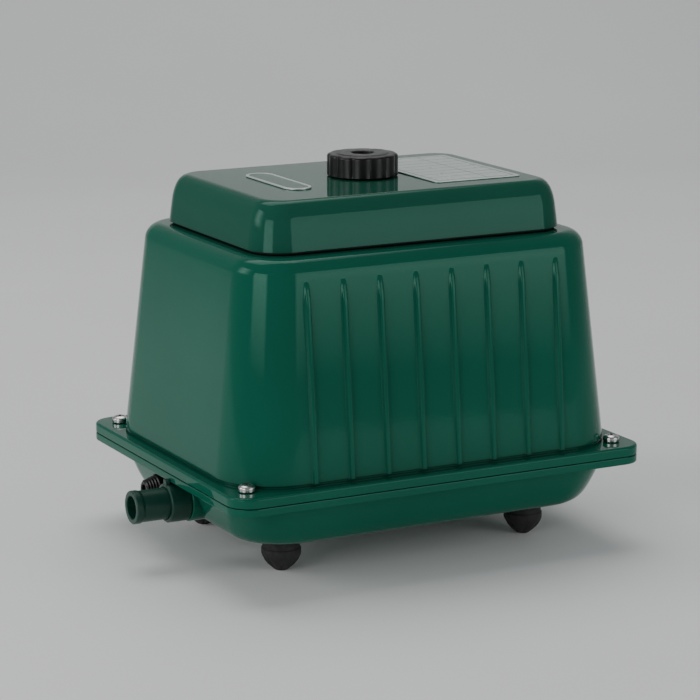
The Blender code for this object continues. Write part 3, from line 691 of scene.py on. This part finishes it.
# ---------------------------------------------------------------- filter, cover and knob
def cover_rings(wall, top, steps):
    rings = []
    for height, share in ((0.0, 0.0), (0.5, 0.5), (1.0, 1.0)):
        sizes = [skirt + (edge - skirt) * share - wall for skirt, edge in zip(COVER_SKIRT, COVER_EDGE)]
        rings.append(outline(*sizes, COVER_BOTTOM + (COVER_EDGE_Z - COVER_BOTTOM) * height))
    for step in range(1, steps + 1):
        share = step / steps
        ways = (3 * share * (1 - share) ** 2, 3 * share ** 2 * (1 - share), share ** 3)
        inset, rise = (sum(way * knot[axis] for way, knot in zip(ways, COVER_CURVE)) for axis in range(2))
        sizes = [edge - wall * (1 - inset) - inset * (edge - flat)
                 for edge, flat in zip(COVER_EDGE, COVER_FLAT)]
        rings.append(outline(*sizes, COVER_EDGE_Z + (top - COVER_EDGE_Z) * rise))
    return rings


def filter_cover():
    inside = cover_rings(COVER_WALL, COVER_TOP - COVER_WALL, 6)
    outside = cover_rings(0.0, COVER_TOP, 16)
    edge = COVER_BOTTOM - COVER_LIP
    lip = [outline(*[size - inset for size in COVER_SKIRT], z) for inset, z in
           ((1.5, COVER_BOTTOM), (1.3, edge + 0.2), (1.1, edge), (0.4, edge), (0.1, edge + 0.15))]
    outside[0] = outline(*COVER_SKIRT, edge + 0.5)
    cover = mesh_object("cover_shell", skin(inside[::-1] + lip + outside))
    boolean(cover, "DIFFERENCE", rod((0, 0, COVER_TOP - 10), (0, 0, COVER_TOP + 3), STUD_RADIUS + 0.8, 32))
    settle(cover, "cover", "cover_paint", "filter_cover")


def badge():
    """A pill-shaped plate: a pale raised band round a field in the cover's colour."""
    low = COVER_TOP + GAP
    high = low + 0.8
    half_x, half_y = BADGE_HALF
    steps = [(0.0, low), (0.0, high - 0.3), (0.1, high - 0.1), (0.3, high), (1.5, high), (1.7, high - 0.1),
             (1.8, high - 0.35)]
    rings = [outline(half_x - inset, half_y - inset, half_x - 0.1 - inset, z, spare=3) for inset, z in steps]
    plate = mesh_object("badge_plate", skin(rings), 60)
    plate.data.transform(Matrix.Translation((BADGE_X * MM, 0, 0)))
    settle(plate, "cover", "badge_foil", "badge")
    plate.data.materials.append(LOOKS["cover_paint"])
    field = high - 0.3
    for face in plate.data.polygons:
        corners = [plate.data.vertices[index].co for index in face.vertices]
        inner = all(abs(corner.x / MM - BADGE_X) <= half_x - 1.75 and abs(corner.y / MM) <= half_y - 1.75
                    for corner in corners)
        if inner and all(abs(corner.z / MM - field) < 0.06 for corner in corners):
            face.material_index = 1


def rating_plate():
    """A blank foil plate with a printed frame and ruled lines, and no lettering."""
    low = COVER_TOP + GAP
    half_x, half_y = PLATE_HALF
    rings = [outline(half_x - inset, half_y - inset, 2.5 - inset, low + z, arc=6, spare=3)
             for inset, z in ((0.0, 0.0), (0.0, 0.35), (0.1, 0.46), (0.3, 0.5))]
    plate = mesh_object("rating_label", skin(rings), 60)
    plate.data.transform(Matrix.Translation((PLATE_X * MM, 0, 0)))
    settle(plate, "cover", "rating_foil", "rating_plate")
    top = low + 0.5
    bars = [((-27.5, -46.5), (-26.9, 46.5)), ((26.9, -46.5), (27.5, 46.5)), ((-26.9, -46.5), (26.9, -45.9)),
            ((-26.9, 45.9), (26.9, 46.5)), ((8.0, -45.9), (8.4, 45.9))]
    bars += [((-26.9, y), (26.9, y + 0.4)) for y in (-33, -22, -11, 0, 11, 22, 33)]
    for number, (start, end) in enumerate(bars):
        shape = block((PLATE_X + start[0], start[1], top - 0.05), (PLATE_X + end[0], end[1], top + 0.04))
        line = mesh_object(f"rating_line_{number}", shape)
        line.data.materials.append(PRINTED_LINE)
        line.location = ORIGIN
        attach(line, "cover")


def cover_seal():
    low, high = DECK_TOP + GAP, COVER_BOTTOM - GAP
    span = high - low
    inner, outer = (102.2, 71.2, 16.5), (106.7, 75.4, 20.3)
    profile = [(0.0, 0.15), (0.0, 0.85), (0.12, 1.0), (0.88, 1.0), (1.0, 0.8), (1.06, 0.5), (1.0, 0.2),
               (0.88, 0.0), (0.12, 0.0)]
    rings = []
    for across, up in profile:
        sizes = [start + (end - start) * across for start, end in zip(inner, outer)]
        rings.append(outline(*sizes, low + span * up))
    settle(mesh_object("seal_ring", skin(rings, loop=True)), "housing", "rubber", "cover_seal")


def filter_tray():
    floor, top = DECK_TOP + GAP, 207.0
    inner, outer = (99.5, 68.5, 14.0), (101.5, 70.5, 16.0)
    rings = [outline(*inner, floor + 2), outline(*inner, top - 0.4),
             outline(*[size + 0.4 for size in inner], top), outline(*[size - 0.4 for size in outer], top),
             outline(*outer, top - 0.4), outline(*outer, floor + 0.5),
             outline(*[size - 0.5 for size in outer], floor)]
    tray = mesh_object("tray_shell", skin(rings))
    holes = [rod((x, 0, floor - 3), (x, 0, floor + 5), 12) for x in INLETS_X]
    boolean(tray, "DIFFERENCE", rod((0, 0, floor - 3), (0, 0, floor + 5), STUD_RADIUS + GAP, 32), *holes)
    settle(tray, "housing", "black_plastic", "filter_tray")


def filter_element():
    """A foam pad with soft edges, a crowned top and the lumpy skin that cut foam has."""
    low, high = DECK_TOP + 2.6, 215.0
    half_x, half_y, corner, hole, edge = 97.5, 66.5, 12.0, 9.5, 2.4
    arc, spare = 10, 26
    stations = [(0.0, 0.16), (0.0, 0.5), (0.0, 0.84), (0.3, 0.94), (0.7, 0.985), (1.0, 1.0)]
    rings = []
    for inset, share in [(0.7, 0.02), (0.3, 0.07)] + stations:
        z = low + (high - low) * share
        sizes = [size - edge * inset for size in (half_x, half_y, corner)]
        rings.append(outline(*sizes, z, arc=arc, spare=spare))
    rim = rings[-1]
    bore = [(hole * Vector(point[:2]).normalized()) for point in rim]
    layers = 16
    for layer in range(1, layers + 1):
        share = layer / layers
        rings.append([(x + (bx - x) * share, y + (by - y) * share, high - (1.2 if layer == layers else 0.0))
                      for (x, y, _), (bx, by) in zip(rim, bore)])
    rings.append([(bx, by, low + 0.5) for bx, by in bore])
    for share in (0.96, 0.5):
        rings.append([(x + (bx - x) * share, y + (by - y) * share, low)
                      for (x, y, _), (bx, by) in zip(rings[0], bore)])
    lumpy = []
    for ring in rings:
        row = []
        for x, y, z in ring:
            swell = noise.noise(Vector((x, y, z)) / 9) * 0.35 + noise.noise(Vector((x, y, z)) / 2.5) * 0.22
            lift = (z - low) / (high - low)
            row.append((x * (1 + 0.0018 * swell), y * (1 + 0.003 * swell), z + (swell - 0.35) * lift))
        lumpy.append(row)
    pad = mesh_object("foam_pad", skin(lumpy, loop=True), 80)
    settle(pad, "filter", "filter_foam", "filter_element")


def knob_ring(radius, z, depth, steps):
    """A ring round the knob with broad lobes between narrow flutes."""
    ring = []
    for i in range(steps):
        turn = 2 * math.pi * i / steps
        dip = depth * (1 - abs(math.cos(KNOB_FLUTES * turn / 2)) ** 0.75)
        ring.append(((radius - dip) * math.cos(turn), (radius - dip) * math.sin(turn), z))
    return ring


def knob():
    steps, top, bottom = KNOB_FLUTES * 20, KNOB_TOP, KNOB_BOTTOM
    recess = bottom + 1.9
    flute = KNOB_FLUTE_DEPTH
    rings = [circle(KNOB_BORE, top - 1.2, steps), circle(KNOB_BORE, recess, steps),
             circle(11.6, recess, steps), circle(11.6, bottom, steps)]
    rings += [knob_ring(KNOB_RADIUS - 0.8 * inset, bottom + 0.8 * (1 - rise), flute * 0.8, steps)
              for rise, inset in reversed(quarter(4))]
    rings += [knob_ring(KNOB_RADIUS, z, flute, steps) for z in (bottom + 1.4, bottom + 6, top - 7, top - 2.2)]
    rings += [knob_ring(KNOB_RADIUS - 2.0 * inset, top - 2.2 + 1.7 * rise, flute * (1 - 0.55 * inset), steps)
              for rise, inset in quarter(6)[1:]]
    rings += [knob_ring(19.8, top - 0.45, 0.2, steps), circle(17.4, top - 0.5, steps),
              circle(16.7, top - 0.4, steps), circle(16.2, top - 0.08, steps), circle(15.6, top, steps),
              circle(KNOB_BORE + 1.2, top, steps), circle(KNOB_BORE + 0.5, top - 0.15, steps),
              circle(KNOB_BORE + 0.12, top - 0.6, steps)]
    settle(mesh_object("knob_grip", skin(rings, loop=True), 50), "knob", "black_plastic", "cover_knob")
    bore = STUD_RADIUS + GAP
    outer = KNOB_BORE - GAP
    insert = [(bore, recess + 0.3), (bore + 0.3, recess), (outer, recess), (outer, INSERT_TOP - 0.3),
              (outer - 0.3, INSERT_TOP), (bore + 0.5, INSERT_TOP), (bore, INSERT_TOP - 0.5)]
    settle(mesh_object("knob_bush", turned(insert, 64, True)), "knob", "brass", "knob_insert")
    low, high = COVER_TOP + GAP, recess - GAP
    washer = [(4.7, low + 0.1), (4.8, low), (10.8, low), (11.0, low + 0.2), (11.0, high - 0.2), (10.8, high),
              (4.8, high), (4.7, high - 0.1)]
    disc = mesh_object("washer_disc", turned(washer, 64, True))
    settle(disc, "knob_carrier", "stainless_steel", "knob_washer")


def threaded_stud():
    """The stud that the knob screws onto, with its flange on the deck and a real thread above and below."""
    pitch, steps, depth = 1.25, 32, 0.42
    flange = DECK_TOP + 2.6
    below = DECK_TOP - WALL - GAP - 8
    rings = []

    def plain(radius, z):
        rings.append(circle(radius, z, steps))

    def thread(start, end):
        rows = int((end - start) / pitch * 8)
        for row in range(rows + 1):
            z = start + (end - start) * row / rows
            ring = []
            fade = smooth(min(row, rows - row) / 6)
            for i in range(steps):
                turn = 2 * math.pi * i / steps
                phase = (z / pitch - i / steps) % 1.0
                groove = depth * abs(2 * phase - 1) * fade
                radius = STUD_RADIUS - groove
                ring.append((radius * math.cos(turn), radius * math.sin(turn), z))
            rings.append(ring)

    plain(STUD_RADIUS - 0.8, below)
    thread(below + 0.8, DECK_TOP - WALL)
    plain(STUD_RADIUS, flange)
    for radius, z in ((7.7, 0.0), (8.0, 0.3), (8.0, 2.1), (7.7, 2.4), (STUD_RADIUS, 2.4)):
        plain(radius, flange + z)
    thread(flange + 3.2, STUD_TOP - 1)
    plain(STUD_RADIUS - 1, STUD_TOP)
    settle(mesh_object("stud_thread", skin(rings), 50), "housing", "stainless_steel", "cover_stud")


def diaphragm_band(radii, face):
    """A ring of the membrane: flat, with one fold between the hub and the clamped rim."""
    def dip(radius):
        share = max(0.0, min(1.0, (radius - HUB_RADIUS) / (FOLD_END - HUB_RADIUS)))
        return FOLD_DEPTH * math.sin(math.pi * share) ** 2

    inner = [(radius, face - DIAPHRAGM_WALL - dip(radius)) for radius in radii]
    outer = [(radius, face - dip(radius)) for radius in reversed(radii)]
    return turned(inner + outer, 96, True)


def diaphragms():
    """Each drive diaphragm in two pieces: the hub goes with the shuttle, the rest stays clamped in the head."""
    hub = [3.3, 8, 14, 19, HUB_RADIUS, 25, 26, FOLD_SPLIT]
    rim = [FOLD_SPLIT + 0.2, 28, 29, 30, 31, 32, 33, 34, 35, FOLD_END, 41, 46]
    for end, side in (("left", -1), ("right", 1)):
        low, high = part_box(f"diaphragm_{end}")
        centre = ((low + high) / 2 - ORIGIN) / MM
        face = max(abs(low.x - ORIGIN.x), abs(high.x - ORIGIN.x)) / MM
        for part, radii, body in (("hub", hub, "drive_shuttle"), ("fold", rim, "housing")):
            points, faces = diaphragm_band(radii, face)
            points = [(side * z, y, x) for x, y, z in points]
            membrane = mesh_object(f"diaphragm_{part}_{end}", (points, faces))
            settle(membrane, body, "rubber", f"diaphragm_{end}", place=(0, centre.y, centre.z))


def repaint_frame_nodes():
    """The CAD nodes that stay get the detailed material of their slot."""
    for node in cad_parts.values():
        for holder in node.material_slots:
            holder.material = LOOKS[holder.material.name.split(".")[0]]


# ---------------------------------------------------------------- studio
def studio_surface(name, colour, roughness):
    look = Look(name, roughness=roughness)
    look.colour(look.ramp(look.noise(3.0, 3.0), (0.3, scaled(colour, 0.98)), (0.7, scaled(colour, 1.02))))
    return look.material


def floor_and_backdrop():
    """A pale sweep: a floor that curves up behind the pump."""
    profile = [(-4.0, 0.0), (1.6, 0.0)]
    profile += [(1.6 + 0.9 * math.sin(math.radians(a)), 0.9 - 0.9 * math.cos(math.radians(a)))
                for a in range(6, 91, 6)]
    profile.append((2.5, 3.2))
    points = [(x, y, z) for y, z in profile for x in (-5.0, 5.0)]
    faces = [(2 * i, 2 * i + 1, 2 * i + 3, 2 * i + 2) for i in range(len(profile) - 1)]
    mesh = bpy.data.meshes.new("floor")
    mesh.from_pydata(points, [], faces)
    mesh.shade_smooth()
    mesh.materials.append(studio_surface("floor_look", (0.87, 0.87, 0.86), 0.7))
    sweep = bpy.data.objects.new("floor", mesh)
    sweep.rotation_euler.z = math.radians(VIEW_AZIMUTH)
    bpy.context.scene.collection.objects.link(sweep)


def light_share(tree, source, *stops):
    """How a softbox's strength changes in one direction, as (position, share) stops."""
    ramp = tree.nodes.new("ShaderNodeValToRGB")
    elements = ramp.color_ramp.elements
    for index, (position, share) in enumerate(stops):
        element = elements[index] if index < 2 else elements.new(position)
        element.position, element.color = position, (share, share, share, 1.0)
    tree.links.new(source, ramp.inputs["Fac"])
    return ramp.outputs["Color"]


def softbox(name, azimuth, distance, low, high, width, radiance, lean=0.0, side=0.15, foot=1.0):
    """An upright rectangular light from height low to height high, facing the pump. Azimuth 0 is in front,
    on -Y. It dims over the share side of its width at either side, over the fifth below its top, and to the
    share foot at its foot."""
    turn = math.radians(azimuth)
    data = bpy.data.lights.new(name, "AREA")
    data.shape, data.size, data.size_y = "RECTANGLE", width, high - low
    data.energy = radiance * math.pi * width * (high - low)
    data.use_nodes = True
    tree = data.node_tree
    split = tree.nodes.new("ShaderNodeSeparateXYZ")
    tree.links.new(tree.nodes.new("ShaderNodeNewGeometry").outputs["Parametric"], split.inputs[0])
    product = tree.nodes.new("ShaderNodeMath")
    product.operation = "MULTIPLY"
    across = light_share(tree, split.outputs["X"], (0.0, 0.0), (side, 1.0), (1.0 - side, 1.0), (1.0, 0.0))
    down = light_share(tree, split.outputs["Y"], (0.0, 0.0), (0.2, 1.0), (1.0, foot))
    tree.links.new(across, product.inputs[0])
    tree.links.new(down, product.inputs[1])
    tree.links.new(product.outputs["Value"], tree.nodes["Emission"].inputs["Strength"])
    lamp = bpy.data.objects.new(name, data)
    lamp.location = (distance * math.sin(turn), -distance * math.cos(turn), (low + high) / 2)
    lamp.rotation_euler = (math.radians(90 - lean), 0.0, turn)
    bpy.context.scene.collection.objects.link(lamp)


VIEW_AZIMUTH = -28.0
VIEW_ELEVATION = 8.8
VIEW_DISTANCE = 1.72
VIEW_LENS = 138.0


def camera():
    low, high = CAD_BOX
    turn, tilt = math.radians(VIEW_AZIMUTH), math.radians(VIEW_ELEVATION)
    back = Vector((math.sin(turn) * math.cos(tilt), -math.cos(turn) * math.cos(tilt), math.sin(tilt)))
    data = bpy.data.cameras.new("camera")
    data.lens = VIEW_LENS
    data.clip_start = 0.05
    eye = bpy.data.objects.new("camera", data)
    aim = (low + high) / 2 + Vector((0.004, 0.0, -0.004))
    eye.location = ORIGIN + Vector((0, 0, COVER_TOP)) * MM + VIEW_DISTANCE * back
    eye.rotation_euler = (aim - eye.location).to_track_quat("-Z", "Y").to_euler()
    bpy.context.scene.collection.objects.link(eye)
    bpy.context.scene.camera = eye


def lights():
    world = bpy.data.worlds.new("studio")
    world.use_nodes = True
    background = world.node_tree.nodes["Background"]
    background.inputs["Color"].default_value = (0.92, 0.96, 1.0, 1.0)
    background.inputs["Strength"].default_value = 0.25
    bpy.context.scene.world = world
    softbox("window_right", 28, 1.4, 0.055, 0.70, 0.94, 2.9, side=0.1, foot=0.8)
    softbox("window_left", -63, 1.4, 0.12, 0.72, 0.84, 4.6, foot=0.8)
    softbox("end_fill", -108, 1.8, 0.3, 1.4, 1.3, 4.6, side=0.45)
    softbox("top_fill", 170, 0.9, 1.5, 3.1, 2.4, 2.8, lean=66)


camera()
floor_and_backdrop()
lights()
upper_housing()
base_tank()
rim_screws()
feet()
outlet_and_gland()
filter_cover()
badge()
rating_plate()
cover_seal()
filter_tray()
filter_element()
knob()
threaded_stud()
diaphragms()
repaint_frame_nodes()
